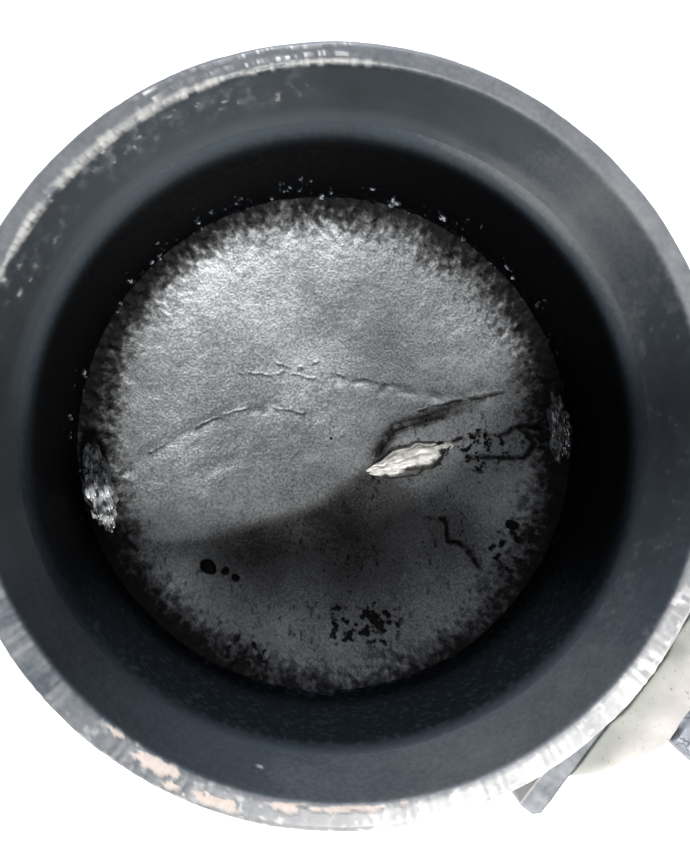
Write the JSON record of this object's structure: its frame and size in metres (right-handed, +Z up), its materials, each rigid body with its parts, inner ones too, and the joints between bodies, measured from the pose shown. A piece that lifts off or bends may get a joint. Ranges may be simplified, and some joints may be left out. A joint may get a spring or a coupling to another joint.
{
  "type": "porcelain crucible in a carrying hoop",
  "caption": "Heavy round porcelain crucible with a baked slag crust inside, held under its rim by a split hoop with a straight carrying handle.",
  "frame": {"origin": "centre of the foot ring's face on the bench, on the crucible's axis", "axes": "+Z up along the crucible's axis, +X out along the carrying handle"},
  "size_m": [0.1922, 0.1, 0.05],
  "materials": {
    "smoked_porcelain": "smoke-stained glaze, worn on the rim",
    "carbon_coat": "baked carbon, satin black",
    "slag_crust": "grainy slag with a dull metallic sheen",
    "glassy_clinker": "glassy slag",
    "metal_bead": "dull once-molten metal",
    "spring_steel": "blued by heat",
    "forged_iron": "forged and wiped",
    "biscuit_porcelain": "unglazed biscuit",
    "scaled_iron": "scaled by the fire"
  },
  "bodies": {
    "holder": {"carrying_hoop": "spring_steel", "crossbar": "forged_iron", "crossbar_rivets": "forged_iron", "porcelain_socket": "biscuit_porcelain", "handle_arm": "scaled_iron"},
    "crucible": {"crucible_body": "smoked_porcelain", "carbon_lining": "carbon_coat", "upper_crust_plate": "slag_crust", "lower_crust_plate": "slag_crust", "left_clinker": "glassy_clinker", "right_clinker": "glassy_clinker", "bright_bead": "metal_bead"}
  },
  "joints": [
    {"name": "crucible_lift", "type": "slide", "parent": "holder", "child": "crucible", "axis": [0, 0, 1], "range_m": [0, 0.06]}
  ]
}
